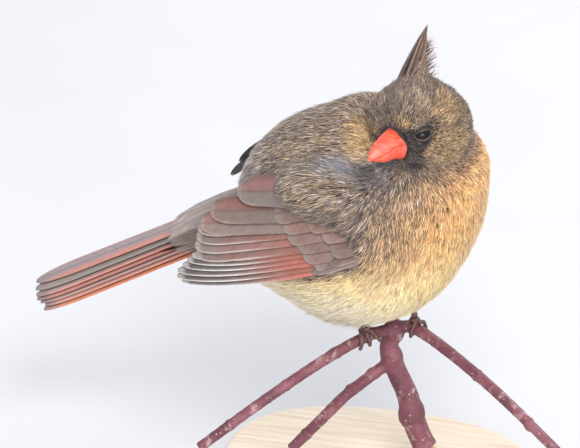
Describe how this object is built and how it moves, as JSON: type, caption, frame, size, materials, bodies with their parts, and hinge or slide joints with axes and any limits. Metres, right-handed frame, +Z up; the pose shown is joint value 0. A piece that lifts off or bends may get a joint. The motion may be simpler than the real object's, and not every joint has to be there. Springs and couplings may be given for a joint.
{
  "type": "northern cardinal",
  "caption": "Life-size female northern cardinal, puffed up and looking over its right shoulder, perched on a cut forked twig held by a plain display stand.",
  "frame": {"origin": "centre of the underside of the stand's base", "axes": "+X is the way the bird's breast faces, +Y is towards its left wing, +Z is up"},
  "size_m": [0.2282, 0.0951, 0.2029],
  "materials": {
    "body_plumage": "soft hair-like body feathers, olive grey-brown above and orange-buff to cream below",
    "flight_feathers": "smooth vaned feathers, grey-brown with rose-red webs",
    "bill_horn": "satin coral-red horn",
    "eye": "wet gloss, near black",
    "leg_skin": "scaled dark skin",
    "bark": "smooth purplish-red bark with pale worn patches",
    "stand_wood": "satin varnish",
    "stand_metal": "brushed"
  },
  "bodies": {
    "root": {"torso": "body_plumage", "neck": "body_plumage", "head": "body_plumage", "wing_left": "flight_feathers", "wing_right": "flight_feathers", "tail": "flight_feathers", "bill_upper": "bill_horn", "bill_lower": "bill_horn", "eye_left": "eye", "eye_right": "eye", "leg_left": "leg_skin", "leg_right": "leg_skin", "foot_left": "leg_skin", "foot_right": "leg_skin", "perch": "bark", "stand_base": "stand_wood", "stand_rod": "stand_metal"}
  },
  "joints": []
}
